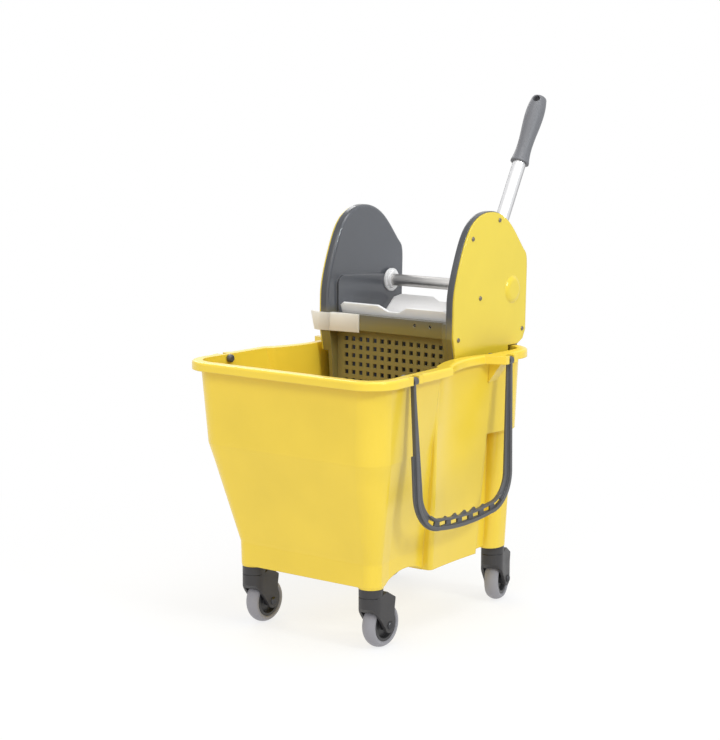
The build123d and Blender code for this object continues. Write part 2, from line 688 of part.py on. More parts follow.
def gear(teeth, at, phase, bore_d):
    """Involute spur gear of the right cheek, on a bore."""
    r = pitch_r(teeth)
    base_r = r * cos(PRESSURE)
    roll = tan(PRESSURE) - PRESSURE

    def half_angle(radius):
        angle = acos(min(1.0, base_r / radius))
        return pi / (2 * teeth) - BACKLASH / (2 * r) + roll - (tan(angle) - angle)

    radii = [r - 1.25 * MODULE, r, r + MODULE]
    points = []
    for tooth in range(teeth):
        middle = phase + 2 * pi * tooth / teeth
        flank = [(radius, half_angle(radius)) for radius in radii]
        for radius, turn in [(q, -h) for q, h in flank] + [(q, h) for q, h in reversed(flank)]:
            points.append((at[0] + radius * cos(middle + turn), at[1] + radius * sin(middle + turn)))
    x0, x1 = CHEEK_IN + CHEEK_PLATE + GEAR_GAP, COVER_IN - GEAR_GAP
    return side_plate(points, x0, x1) - rod_x(bore_d / 2, x0 - 1, x1 + 1, at)


drive_phase = 0.0
idler_phase = meshed_phase(drive_phase, SHAFT_AT, DRIVE_TEETH, IDLER_AT, IDLER_TEETH)
rear_phase = meshed_phase(idler_phase, IDLER_AT, IDLER_TEETH, REAR_HINGE, REAR_TEETH)
reverser_phase = meshed_phase(idler_phase, IDLER_AT, IDLER_TEETH, REVERSER_AT, REVERSER_TEETH)
front_phase = meshed_phase(reverser_phase, REVERSER_AT, REVERSER_TEETH, FRONT_HINGE, FRONT_TEETH)

fixed_bore = 2 * SEAT_FIT
running_bore = 2 * RUN_FIT
drive_gear = gear(DRIVE_TEETH, SHAFT_AT, drive_phase, SHAFT_D + fixed_bore)
idler_gear = gear(IDLER_TEETH, IDLER_AT, idler_phase, IDLER_PIN_D + running_bore)
reverser_gear = gear(REVERSER_TEETH, REVERSER_AT, reverser_phase, IDLER_PIN_D + running_bore)
rear_gear = gear(REAR_TEETH, REAR_HINGE, rear_phase, HINGE_ROD_D + fixed_bore)
front_gear = gear(FRONT_TEETH, FRONT_HINGE, front_phase, HINGE_ROD_D + fixed_bore)
save("drive_gears", drive_gear, mirrored(drive_gear))
save("right_idler_gear", idler_gear)
save("left_idler_gear", mirrored(idler_gear))
save("right_reverser_gear", reverser_gear)
save("left_reverser_gear", mirrored(reverser_gear))
save("rear_flap_gears", rear_gear, mirrored(rear_gear))
save("front_flap_gears", front_gear, mirrored(front_gear))

pin_end = COVER_IN - FACE_GAP
pins = [rod_x(IDLER_PIN_D / 2, PAD_IN + 2, pin_end, at) for at in (IDLER_AT, REVERSER_AT)]
save("idler_pins", *pins, *[mirrored(pin) for pin in pins])
save("rear_hinge_rod", rod_x(HINGE_ROD_D / 2, -pin_end, pin_end, REAR_HINGE))
save("front_hinge_rod", rod_x(HINGE_ROD_D / 2, -pin_end, pin_end, FRONT_HINGE))


# Wringer cheeks: an arched shell on each side, closed by a yellow cover

CHEEK_FRONT = [(31.0, COVER_BOTTOM), (23.0, 477.0), (24.0, 525.0)]
CHEEK_ARCH = [(24.0, 525.0), (31.0, 568.0), (48.0, 613.5), (82.0, 664.5), (132.0, 680.5),
              (192.0, 658.0), (237.0, 610.0), (246.5, 580.0)]
CHEEK_MIDDLE = (132.0, 560.0)
CHEEK_REAR = [(246.5, 580.0), (243.0, 471.0), (235.0, 456.0), (219.0, RIM_Z + FACE_GAP)]
CHEEK_TAIL_Y = 190.0


def cheek_face(x, inset=0.0):
    """Outline of a cheek in the side view, drawn in by inset all round."""
    def drawn_in(point):
        y, z = CHEEK_MIDDLE[0] - point[0], CHEEK_MIDDLE[1] - point[1]
        reach = hypot(y, z)
        return (x, point[0] + inset * y / reach, point[1] + inset * z / reach)

    front, rear = [drawn_in(p) for p in CHEEK_FRONT], [drawn_in(p) for p in CHEEK_REAR]
    arch = Edge.make_spline([drawn_in(p) for p in CHEEK_ARCH], tangents=[(0, 0, 1), (0, 0, -1)])
    tail_z = RIM_Z + FACE_GAP + inset
    low = [(x, CHEEK_TAIL_Y - inset, tail_z), (x, CHEEK_TAIL_Y - inset, COVER_BOTTOM + inset)]
    corners = rear + low + front
    lines = [Edge.make_line(a, b) for a, b in zip(corners, corners[1:])]
    return Face(Wire([arch] + lines))


def cheek_slab(x0, x1, inset=0.0):
    return Part() + Solid.extrude(cheek_face(x0, inset), Vector(x1 - x0, 0, 0))


def cheek():
    """Right cheek: arched shell open to the outside, bearing pad and a leg that stands in the bucket."""
    plate_out = CHEEK_IN + CHEEK_PLATE
    rim = Solid.make_loft([cheek_face(CHEEK_IN + depth, inset).outer_wire()
                           for inset, depth in quarter_round(CHEEK_ROUND)], True)
    shell = Part() + rim + cheek_slab(CHEEK_IN + CHEEK_ROUND, COVER_IN)
    shell -= cheek_slab(plate_out, COVER_IN + 1, CHEEK_WALL)
    rim_rest = RIM_Z + FACE_GAP
    pad_rear_y = SHAFT_AT[0] + BUSH_FLANGE_R + CHEEK_WALL
    pad = side_plate([(PAD_FRONT_Y, rim_rest), (PAD_FRONT_Y, PAD_TOP), (pad_rear_y, PAD_TOP - PAD_FALL),
                      (pad_rear_y, rim_rest)], PAD_IN, plate_out)
    pad = fillet(pad.edges().filter_by(Axis.X).sort_by(Axis.Z)[-1], PAD_ROUND)
    front_y = CHEEK_FRONT[0][0]
    leg = side_plate([(front_y, COVER_BOTTOM), (LEG_FRONT_Y, SEAT_Z), (CHEEK_TAIL_Y, SEAT_Z),
                      (CHEEK_TAIL_Y, rim_rest), (PAD_FRONT_Y, rim_rest)], PAD_IN, plate_out)
    pad_overlap_y = PAD_FRONT_Y + PAD_ROUND
    front_pad = side_plate([(front_y, COVER_BOTTOM), CHEEK_FRONT[1], (CHEEK_FRONT[1][0], BAND_TOP),
                            (pad_overlap_y, BAND_TOP), (pad_overlap_y, COVER_BOTTOM)], PAD_IN, plate_out)
    sole = block(PAD_IN, COVER_IN + COVER_T, pad_overlap_y, CHEEK_TAIL_Y, SEAT_Z, SEAT_Z + SOLE_T)
    hook_y = RIM["rear"] + LIP_W + FACE_GAP
    hook = block(CHEEK_IN, COVER_IN, hook_y, hook_y + SOLE_T, RIM_Z - LIP_H, RIM_Z + 2 * CHEEK_ROUND)
    body = shell + pad + leg + front_pad + sole + hook
    for at in COVER_SCREWS:
        body += rod_x(BOSS_R, CHEEK_IN, COVER_IN, at)
        body -= rod_x(SCREW_D / 2 + SEAT_FIT, plate_out + 2, COVER_IN + 1, at)
    body -= rod_x(BUSH_R + SEAT_FIT, PAD_IN - 1, plate_out + 1, SHAFT_AT)
    for at in (REAR_HINGE, FRONT_HINGE):
        body -= rod_x(HINGE_ROD_D / 2 + RUN_FIT, PAD_IN - 1, plate_out + 1, at)
    for at in (IDLER_AT, REVERSER_AT):
        body -= rod_x(IDLER_PIN_D / 2 + SEAT_FIT, PAD_IN + 2 - SEAT_FIT, plate_out + 1, at)
    return body


def cover():
    """Yellow outer cover of the right cheek with a low boss over the shaft end."""
    outer = COVER_IN + COVER_T
    plate = cheek_slab(COVER_IN, outer, COVER_INSET) + shaft_boss(outer)
    for at in COVER_SCREWS:
        plate -= rod_x(SCREW_D / 2 + FACE_GAP, COVER_IN - 1, outer + 1, at)
    return plate


def shaft_boss(x):
    """Low round boss with a rounded edge, in line with the shaft."""
    top, flat, edge = x + COVER_BOSS_H, COVER_BOSS_R - 2 * COVER_BOSS_H, COVER_BOSS_R
    swell = (x + 0.75 * COVER_BOSS_H, (flat + edge) / 2, 0)
    corners = [(x, edge, 0), (x - 1, edge, 0), (x - 1, 0, 0), (top, 0, 0), (top, flat, 0)]
    edges = [Edge.make_line(a, b) for a, b in zip(corners, corners[1:])]
    edges.append(Edge.make_three_point_arc(corners[-1], swell, corners[0]))
    return Pos(0, *SHAFT_AT) * (Part() + revolve(Face(Wire(edges)), axis=Axis.X))


right_cheek = cheek()
right_cover = cover()
save("right_cheek", right_cheek)
save("left_cheek", mirrored(right_cheek))
save("right_cover", right_cover)
save("left_cover", mirrored(right_cover))


def cover_screw(at):
    """Pan-head screw through the cover into a boss of the cheek."""
    outer = COVER_IN + COVER_T
    shank = rod_x(SCREW_D / 2, CHEEK_IN + CHEEK_PLATE + 3, outer, at)
    head_r = SCREW_HEAD_D / 2
    top, rim = outer + SCREW_HEAD_T, outer + SCREW_HEAD_T / 3
    head = turned_x([(outer, 0), (top, 0), (top, 0.75 * head_r), (rim, head_r), (outer, head_r)])
    return shank + Pos(0, *at) * head


screws = [cover_screw(at) for at in COVER_SCREWS]
save("right_cover_screws", *screws)
save("left_cover_screws", *[mirrored(screw) for screw in screws])


def shaft_bush():
    """White flanged bush in the right cheek."""
    bore = SHAFT_D / 2 + RUN_FIT
    flange_in = PAD_IN - BUSH_FLANGE_T
    ring_in = flange_in - BUSH_RING_T
    section = [
        (ring_in, bore), (CHEEK_IN + CHEEK_PLATE, bore), (CHEEK_IN + CHEEK_PLATE, BUSH_R), (PAD_IN, BUSH_R),
        (PAD_IN, BUSH_FLANGE_R), (flange_in, BUSH_FLANGE_R), (flange_in, BUSH_RING_R), (ring_in, BUSH_RING_R),
    ]
    return Pos(0, *SHAFT_AT) * turned_x(section)


right_bush = shaft_bush()
save("right_shaft_bush", right_bush)
save("left_shaft_bush", mirrored(right_bush))
shaft_tube = rod_x(SHAFT_D / 2, -pin_end, pin_end, SHAFT_AT)
save("cross_shaft", shaft_tube - rod_x(SHAFT_BORE / 2, -pin_end - 1, pin_end + 1, SHAFT_AT))


# Basket: front band, two perforated screens and a drained tray

def front_band():
    """Channel across the front with two screw holes."""
    band = block(-PAD_IN, PAD_IN, BAND_Y, SCREEN_Y, BAND_Z, BAND_TOP)
    band -= block(-PAD_IN - 1, PAD_IN + 1, BAND_Y + BAND_T, SCREEN_Y + 1, BAND_Z + BAND_T, BAND_TOP - BAND_T)
    for x in BAND_HOLE_X:
        band -= rod(BAND_HOLE_D / 2, (x, BAND_Y - 1, BAND_HOLE_Z), (x, BAND_Y + BAND_T + 1, BAND_HOLE_Z))
    return band


def screen(y, top):
    """Upright perforated panel."""
    panel = block(-PAD_IN, PAD_IN, y, y + SCREEN_T, TRAY_Z, top)
    holes = []
    for column in range(HOLE_COLUMNS):
        x = (column - (HOLE_COLUMNS - 1) / 2) * HOLE_PITCH_X
        for row in range(HOLE_ROWS):
            z = HOLE_TOP_Z - row * HOLE_PITCH_Z
            holes.append(Pos(x, y, z) * Box(HOLE, 3 * SCREEN_T, HOLE))
    return panel - holes


def tray():
    """Basket floor with rows of drain slots."""
    plate = block(-PAD_IN, PAD_IN, SCREEN_Y, REAR_SCREEN_Y + SCREEN_T, TRAY_Z - SCREEN_T, TRAY_Z)
    slots = []
    for i in range(-3, 4):
        for j in range(-1, 2):
            y = (SCREEN_Y + REAR_SCREEN_Y + SCREEN_T) / 2 + j * DRAIN_PITCH
            slots.append(Pos(i * DRAIN_PITCH, y, TRAY_Z) * Box(DRAIN_W, DRAIN_L, 3 * SCREEN_T))
    return plate - slots


save("front_band", front_band())
save("front_screen", screen(SCREEN_Y, SCREEN_TOP))
save("rear_screen", screen(REAR_SCREEN_Y, REAR_SCREEN_TOP))
save("basket_floor", tray())


# Press flaps

def flap(hinge, length, lean, corner_cut):
    """White press flap on its hinge barrel, with a notch for the mop stick."""
    h, n, w = FLAP_HALF, NOTCH_TOP / 2, NOTCH_LOW / 2
    outline = [
        (-h, 0), (h, 0), (h, length - corner_cut), (h - 1.5 * corner_cut, length), (n, length),
        (w, length - NOTCH_DEEP), (-w, length - NOTCH_DEEP), (-n, length),
        (-h + 1.5 * corner_cut, length), (-h, length - corner_cut),
    ]
    plate = front_plate(outline, -FLAP_T / 2, FLAP_T / 2)
    barrel = rod_x(FLAP_BARREL_R, -h, h, (0, 0))
    bore = rod_x(HINGE_ROD_D / 2 + SEAT_FIT, -h - 1, h + 1, (0, 0))
    return Pos(0, *hinge) * Rot(lean, 0, 0) * (plate + barrel - bore)


save("front_flap", flap(FRONT_HINGE, FRONT_FLAP_L, FRONT_FLAP_LEAN, FRONT_FLAP_CUT))
save("rear_flap", flap(REAR_HINGE, REAR_FLAP_L, REAR_FLAP_LEAN, REAR_FLAP_CUT))


# Lever handle, built upright on the shaft axis and then leaned back

LEVER = Pos(HANDLE_X, *SHAFT_AT) * Rot(-HANDLE_LEAN, 0, 0)
TUBE_FOOT = SHAFT_D / 2 + 4.0


def handle_socket():
    """Socket clamped on the cross shaft that takes the lever tube."""
    half = SOCKET_HALF
    body = rod_x(SOCKET_R, -half, half, (0, 0))
    body += rod(SOCKET_R - 0.5, (0, 0, 0), (0, 0, SOCKET_L))
    body -= rod(TUBE_D / 2 + SEAT_FIT, (0, 0, TUBE_FOOT), (0, 0, SOCKET_L + 1))
    body -= rod_x(SHAFT_D / 2 + SEAT_FIT, -half - 1, half + 1, (0, 0))
    return body - rod_x(BOLT_R + SEAT_FIT, -SOCKET_R - 1, SOCKET_R + 1, (0, BOLT_UP))


def handle_tube():
    top = HANDLE_L - GRIP_CAP
    tube = rod(TUBE_D / 2, (0, 0, TUBE_FOOT), (0, 0, top))
    tube -= rod(TUBE_D / 2 - TUBE_WALL, (0, 0, TUBE_FOOT - 1), (0, 0, top + 1))
    return tube - rod_x(BOLT_R + SEAT_FIT, -TUBE_D, TUBE_D, (0, BOLT_UP))


def handle_bolt():
    """Cross bolt through socket and tube, with a low head and nut."""
    reach = SOCKET_R + BOLT_HEAD
    bolt = rod_x(BOLT_R, -reach, reach, (0, BOLT_UP))
    for a, b in ((SOCKET_R, reach), (-reach, -SOCKET_R)):
        bolt += rod_x(BOLT_R + BOLT_HEAD, a, b, (0, BOLT_UP))
    return bolt


def handle_grip():
    """Grip sleeve: flared lower end, narrow neck, swollen middle and a rounded end with a hang hole."""
    low, top = HANDLE_L - GRIP_L, HANDLE_L
    bore = TUBE_D / 2 + SEAT_FIT
    inside_top = top - GRIP_CAP + SEAT_FIT
    flange_r, end_r = GRIP_FLANGE_D / 2, GRIP_END_D / 2
    flange_top, end_z = low + GRIP_FLANGE_T, top - GRIP_END_ROUND
    side = [(flange_r, 0, flange_top), (GRIP_NECK_D / 2, 0, low + GRIP_NECK_UP),
            (GRIP_D / 2, 0, low + GRIP_SWELL_UP), (end_r, 0, end_z)]
    bulge = GRIP_END_ROUND * sqrt(0.5)
    round_mid = (end_r - GRIP_END_ROUND + bulge, 0, end_z + bulge)
    round_end = (end_r - GRIP_END_ROUND, 0, top)
    inner = [round_end, (0, 0, top), (0, 0, inside_top), (bore, 0, inside_top), (bore, 0, low),
             (flange_r, 0, low), side[0]]
    edges = [Edge.make_spline(side), Edge.make_three_point_arc(side[-1], round_mid, round_end)]
    edges += [Edge.make_line(a, b) for a, b in zip(inner, inner[1:])]
    sleeve = Part() + revolve(Face(Wire(edges)), axis=Axis.Z)
    hole_z = top - HANG_HOLE_DOWN
    hole = rod(HANG_HOLE_D / 2, (0, -GRIP_D, hole_z), (0, GRIP_D, hole_z))
    return sleeve - Rot(0, 0, HANG_HOLE_TURN) * hole


save("handle_socket", LEVER * handle_socket())
save("handle_tube", LEVER * handle_tube())
save("handle_bolt", LEVER * handle_bolt())
save("handle_grip", LEVER * handle_grip())


# Corner guard: a bent strip from the band round the front edge of the left cheek

def corner_guard():
    """Wedge-shaped strip that covers the step from the band to the cheek, with a tail turned back."""
    cheek_y = CHEEK_FRONT[1][0] - FACE_GAP
    inner_x, outer_x = -PAD_IN + FACE_GAP, -COVER_IN - COVER_T - FACE_GAP
    tail_x = outer_x - GUARD_TAIL
    plan = [
        (GUARD_RIGHT_X, BAND_Y), (GUARD_RIGHT_X, BAND_Y - GUARD_T), (outer_x, cheek_y - GUARD_T),
        (tail_x, cheek_y - GUARD_T + GUARD_BACK), (tail_x, cheek_y + GUARD_BACK), (outer_x, cheek_y),
        (inner_x, cheek_y), (inner_x, BAND_Y),
    ]
    face = Face(Wire.make_polygon([(x, y, GUARD_Z) for x, y in plan], close=True))
    strip = Part() + Solid.extrude(face, Vector(0, 0, GUARD_TOP - GUARD_Z))
    slant = front_plate([(tail_x - 1, GUARD_Z - 1), (tail_x + GUARD_SLANT, GUARD_Z - 1),
                         (tail_x - 1, GUARD_TOP)], cheek_y - 2 * GUARD_T, cheek_y + 2 * GUARD_BACK)
    return strip - slant


save("corner_guard", corner_guard())
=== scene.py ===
import json
from math import cos, radians, sin

import bpy
from mathutils import Matrix, Vector

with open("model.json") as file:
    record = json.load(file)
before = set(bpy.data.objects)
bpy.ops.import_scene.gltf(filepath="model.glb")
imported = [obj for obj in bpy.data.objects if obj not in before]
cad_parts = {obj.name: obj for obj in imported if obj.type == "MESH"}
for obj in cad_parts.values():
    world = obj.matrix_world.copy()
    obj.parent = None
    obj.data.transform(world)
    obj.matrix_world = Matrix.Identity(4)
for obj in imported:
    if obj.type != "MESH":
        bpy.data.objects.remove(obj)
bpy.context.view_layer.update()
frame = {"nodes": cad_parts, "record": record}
nodes = frame["nodes"]
scene = bpy.context.scene
scene.view_settings.view_transform = "Standard"

# Moulded finishes. colour and worn are the linear colours of the surface and of its rubbed edges,
# rough is the mean roughness and scuff how far it varies, grain is the depth of the fine grain and
# edge the radius in metres of the softened edges. The painted light colour comes in downwards
# between two given heights and stops at a given depth towards the rear: painted reflected yellow
# light on the dark plastic, painted shade on the guard. The painted facing shade darkens what
# doesn't face sideways, shine is the specular level and depth the share of the light that goes in
FINISHES = {
    "yellow_plastic": dict(
        colour=(0.855, 0.618, 0.050), worn=(0.95, 0.76, 0.20),
        rough=0.235, scuff=0.06, grain=0.04, edge=0.0020),
    "cover_plastic": dict(
        colour=(0.745, 0.575, 0.044), worn=(0.93, 0.78, 0.24),
        rough=0.20, scuff=0.06, grain=0.04, edge=0.0024),
    # dark plastic: painted shade on faces that don't face sideways, and painted yellow light
    # reflected from the bucket on its lower front part
    "dark_plastic": dict(
        colour=(0.100, 0.106, 0.122), worn=(0.24, 0.24, 0.25),
        rough=0.17, scuff=0.06, grain=0.04, edge=0.0020, painted_facing_shade=0.55,
        painted_light=(0.210, 0.173, 0.057), painted_light_from=0.515, painted_light_to=0.485, painted_light_back=0.047),
    # front screen: dark grey plastic painted olive with the yellow light reflected from the bucket
    "screen_plastic_painted_bounce": dict(
        colour=(0.265, 0.220, 0.077), worn=(0.26, 0.22, 0.10),
        rough=0.40, scuff=0.08, grain=0.05, edge=0.0006, shine=0.15),
    # inside of the basket: a darker copy of the dark plastic, painted shade
    "shaded_inner_plastic": dict(
        colour=(0.050, 0.046, 0.038), worn=(0.15, 0.15, 0.15),
        rough=0.40, scuff=0.08, grain=0.05, edge=0.0006, shine=0.15),
    "bail_plastic": dict(
        colour=(0.078, 0.079, 0.084), worn=(0.20, 0.20, 0.21),
        rough=0.36, scuff=0.12, grain=0.10, edge=0.0022),
    "socket_plastic": dict(
        colour=(0.105, 0.107, 0.112), worn=(0.22, 0.22, 0.23),
        rough=0.45, scuff=0.12, grain=0.14, edge=0.0010),
    "grip_plastic": dict(
        colour=(0.138, 0.140, 0.153), worn=(0.36, 0.36, 0.37),
        rough=0.48, scuff=0.10, grain=0.24, edge=0.0012),
    "fork_plastic": dict(
        colour=(0.044, 0.042, 0.044), worn=(0.12, 0.12, 0.12),
        rough=0.42, scuff=0.15, grain=0.16, edge=0.0012, shine=0.35),
    "hub_plastic": dict(
        colour=(0.030, 0.030, 0.033), worn=(0.08, 0.08, 0.08),
        rough=0.40, scuff=0.12, grain=0.12, edge=0.0008),
    "white_plastic": dict(
        colour=(0.93, 0.93, 0.94), worn=(0.95, 0.95, 0.95),
        rough=0.36, scuff=0.06, grain=0.06, edge=0.0012, depth=0.4),
    # guard: painted shade on its lower part, where less light comes through it
    "guard_plastic": dict(
        colour=(0.83, 0.81, 0.76), worn=(0.88, 0.86, 0.82),
        rough=0.40, scuff=0.08, grain=0.08, edge=0.0010, depth=0.3,
        painted_light=(0.66, 0.60, 0.50), painted_light_from=0.501, painted_light_to=0.478),
    "gear_plastic": dict(
        colour=(0.70, 0.68, 0.60), worn=(0.80, 0.78, 0.72),
        rough=0.45, scuff=0.05, grain=0.08, edge=0.0003),
    "tyre_rubber": dict(
        colour=(0.290, 0.284, 0.308), worn=(0.37, 0.36, 0.38),
        rough=0.62, scuff=0.18, grain=0.32, edge=0.0010),
}
# Metals: linear colour, how bright they stay where they curve away, roughness, direction of the
# drawing lines and their turn about X in degrees
METALS = {
    "steel": dict(colour=(0.42, 0.41, 0.40), rim=0.6, rough=0.38, along="X", turn=0.0),
    "screw_steel": dict(colour=(0.24, 0.215, 0.18), rim=0.5, rough=0.45, along="X", turn=0.0),
    "axle_steel": dict(colour=(0.085, 0.085, 0.09), rim=0.6, rough=0.42, along="X", turn=0.0),
    "shaft_steel": dict(colour=(0.68, 0.665, 0.65), rim=0.25, rough=0.36, along="X", turn=0.0),
    "tube_aluminium": dict(colour=(0.78, 0.78, 0.79), rim=0.05, rough=0.35, along="Z", turn=29.7),
}
# Nodes that look different from the rest of their material slot, by the end of their names
OWN_FINISH = {
    "axle": "axle_steel",
    "screws": "screw_steel",
    "cover": "cover_plastic",
    # the front screen gets painted reflected light, the rear screen and basket floor painted shade
    "front_screen": "screen_plastic_painted_bounce",
    "rear_screen": "shaded_inner_plastic",
    "basket_floor": "shaded_inner_plastic",
}

# Noises as scale per metre and detail, and what their spread stands for
NOISE_SPAN = (0.3, 0.7)
CLOUDS, CLOUD_SHADE = (9.0, 5.0), (0.96, 1.03)
RUBS, RUB_SHARE = (70.0, 4.0), (0.10, 0.55)
SMEARS = (38.0, 4.0)
WAVES, WAVE_STRENGTH, WAVE_HEIGHT = (11.0, 1.0), 0.04, 0.004
GRAINS, GRAIN_HEIGHT = (1400.0, 2.0), 0.0006
# Edges: how far the softened normal leaves the plain one at the start and the end of the wear
BEVEL_SAMPLES = 6
EDGE_MATCH = (0.985, 0.80)
# Sideways share of the normal, squared, over which the painted facing shade ends
PAINTED_FACING_SHADE_SPAN = (0.1, 0.6)
# Lengths in metres over which the painted light stops towards the rear, and that light reaches in
# plastic
PAINTED_LIGHT_FADE = 0.005
LIGHT_DEPTH = 0.02
# Drawing lines of the metals: scale along and across, detail, shade, spread of the roughness
LINE_ALONG, LINE_ACROSS, LINE_DETAIL = 6.0, 900.0, 4.0
LINE_SHADE = (0.90, 1.04)
LINE_SMOOTHER, LINE_ROUGHER = 0.06, 0.10
LINE_STRENGTH, LINE_HEIGHT = 0.08, 0.0003
METAL_EDGE = 0.0005


class Nodes:
    """Short names for building a material's node tree."""

    def __init__(self, name):
        self.material = bpy.data.materials.new(name)
        self.material.use_nodes = True
        self.tree = self.material.node_tree
        self.shader = self.tree.nodes["Principled BSDF"]
        self.place = self.add("ShaderNodeTexCoord").outputs["Object"]

    def add(self, kind, **settings):
        node = self.tree.nodes.new(kind)
        for key, value in settings.items():
            setattr(node, key, value)
        return node

    def join(self, source, target):
        self.tree.links.new(source, target)

    def set(self, **constants):
        """Set constants on the shader's own sockets."""
        for key, value in constants.items():
            self.shader.inputs[key.replace("_", " ")].default_value = value

    def noise(self, scale, detail, place=None):
        """Cloud noise, mostly within NOISE_SPAN."""
        node = self.add("ShaderNodeTexNoise")
        node.inputs["Scale"].default_value = scale
        node.inputs["Detail"].default_value = detail
        self.join(place or self.place, node.inputs["Vector"])
        return node.outputs["Fac"]

    def ramp(self, source, start, end, low, high):
        """Map start..end of a socket onto low..high, held at the ends."""
        node = self.add("ShaderNodeMapRange")
        span = {"From Min": start, "From Max": end, "To Min": low, "To Max": high}
        for key, value in span.items():
            node.inputs[key].default_value = value
        self.join(source, node.inputs["Value"])
        return node.outputs["Result"]

    def spread(self, noise, low, high):
        return self.ramp(noise, *NOISE_SPAN, low, high)

    def times(self, a, b):
        node = self.add("ShaderNodeMath", operation="MULTIPLY")
        self.join(a, node.inputs[0])
        self.join(b, node.inputs[1])
        return node.outputs[0]

    def parts(self, vector):
        """The X, Y and Z sockets of a vector socket."""
        node = self.add("ShaderNodeSeparateXYZ")
        self.join(vector, node.inputs[0])
        return node.outputs

    def blend(self, factor, first, second, kind="MIX"):
        """Mix two colours; each is a constant or a socket."""
        node = self.add("ShaderNodeMix", data_type="RGBA", blend_type=kind)
        if isinstance(factor, float):
            node.inputs[0].default_value = factor
        else:
            self.join(factor, node.inputs[0])
        for socket, colour in ((node.inputs[6], first), (node.inputs[7], second)):
            if isinstance(colour, tuple):
                socket.default_value = (*colour, 1)
            else:
                self.join(colour, socket)
        return node.outputs[2]

    def shade(self, colour, factor):
        """A colour times a factor socket."""
        return self.blend(1.0, colour, factor, "MULTIPLY")

    def soft_edges(self, radius):
        """Normals rounded over the edges, and a mask of the places where they are."""
        soft = self.add("ShaderNodeBevel", samples=BEVEL_SAMPLES)
        soft.inputs["Radius"].default_value = radius
        plain = self.add("ShaderNodeNewGeometry")
        match = self.add("ShaderNodeVectorMath", operation="DOT_PRODUCT")
        self.join(soft.outputs["Normal"], match.inputs[0])
        self.join(plain.outputs["Normal"], match.inputs[1])
        return soft.outputs["Normal"], self.ramp(match.outputs["Value"], *EDGE_MATCH, 0.0, 1.0)

    def bump(self, height, strength, distance, normal):
        """Raise the surface by a height socket, on top of a normal."""
        node = self.add("ShaderNodeBump")
        node.inputs["Strength"].default_value = strength
        node.inputs["Distance"].default_value = distance
        self.join(height, node.inputs["Height"])
        self.join(normal, node.inputs["Normal"])
        return node.outputs["Normal"]


def moulded(name, colour, worn, rough, scuff, grain, edge, painted_light=None, painted_light_from=0.0, painted_light_to=0.0,
            painted_light_back=None, painted_facing_shade=None, shine=0.5, depth=0.0):
    """Moulded plastic or rubber: cloudy colour, uneven gloss, fine grain and rubbed edges, with
    painted shade by facing and painted light by height where a finish asks for them.
    """
    n = Nodes(name)
    n.set(Specular_IOR_Level=shine, Subsurface_Weight=depth, Subsurface_Scale=LIGHT_DEPTH,
          Subsurface_Radius=(1, 1, 1))
    normal, edges = n.soft_edges(edge)
    base = colour
    # painted shade: darker where the surface doesn't face sideways
    if painted_facing_shade:
        facing = n.parts(n.add("ShaderNodeNewGeometry").outputs["Normal"])
        aside = n.times(facing["X"], facing["X"])
        base = n.shade(colour, n.ramp(aside, *PAINTED_FACING_SHADE_SPAN, painted_facing_shade, 1.0))
    # painted light: a painted colour coming in below two heights, cut off towards the rear where
    # asked; painted reflected yellow light on the dark plastic, painted shade on the guard
    if painted_light:
        place = n.parts(n.place)
        painted_light_share = n.ramp(place["Z"], painted_light_from, painted_light_to, 0.0, 1.0)
        if painted_light_back:
            front = n.ramp(place["Y"], painted_light_back, painted_light_back + PAINTED_LIGHT_FADE, 1.0, 0.0)
            painted_light_share = n.times(painted_light_share, front)
        base = n.blend(painted_light_share, base, painted_light)
    cloudy = n.shade(base, n.spread(n.noise(*CLOUDS), *CLOUD_SHADE))
    rubbed = n.times(edges, n.spread(n.noise(*RUBS), *RUB_SHARE))
    n.join(n.blend(rubbed, cloudy, worn), n.shader.inputs["Base Color"])
    gloss = n.spread(n.noise(*SMEARS), rough - scuff / 2, rough + scuff / 2)
    n.join(gloss, n.shader.inputs["Roughness"])
    waves = n.bump(n.noise(*WAVES), WAVE_STRENGTH, WAVE_HEIGHT, normal)
    grained = n.bump(n.noise(*GRAINS), grain, GRAIN_HEIGHT, waves)
    n.join(grained, n.shader.inputs["Normal"])
    return n.material


def drawn_metal(name, colour, rim, rough, along, turn):
    """Drawn tube or rod: fine lines along its length."""
    n = Nodes(name)
    n.set(Metallic=1.0, Specular_Tint=(rim, rim, rim, 1))
    upright = n.add("ShaderNodeMapping")
    upright.inputs["Rotation"].default_value = (radians(turn), 0, 0)
    n.join(n.place, upright.inputs["Vector"])
    stretch = n.add("ShaderNodeMapping")
    scales = [LINE_ALONG if axis == along else LINE_ACROSS for axis in "XYZ"]
    stretch.inputs["Scale"].default_value = scales
    n.join(upright.outputs["Vector"], stretch.inputs["Vector"])
    lines = n.noise(1.0, LINE_DETAIL, stretch.outputs["Vector"])
    n.join(n.shade(colour, n.spread(lines, *LINE_SHADE)), n.shader.inputs["Base Color"])
    gloss = n.spread(lines, rough - LINE_SMOOTHER, rough + LINE_ROUGHER)
    n.join(gloss, n.shader.inputs["Roughness"])
    normal, _ = n.soft_edges(METAL_EDGE)
    lined = n.bump(lines, LINE_STRENGTH, LINE_HEIGHT, normal)
    n.join(lined, n.shader.inputs["Normal"])
    return n.material


materials = {slot: moulded(slot, **look) for slot, look in FINISHES.items()}
materials.update({slot: drawn_metal(slot, **look) for slot, look in METALS.items()})
for entry in frame["record"]["subparts"]:
    mesh = nodes[entry["node"]].data
    mesh.materials.clear()
    own = [finish for ending, finish in OWN_FINISH.items() if entry["node"].endswith(ending)]
    slot = own[0] if own else entry["material_slot"]
    mesh.materials.append(materials[slot])

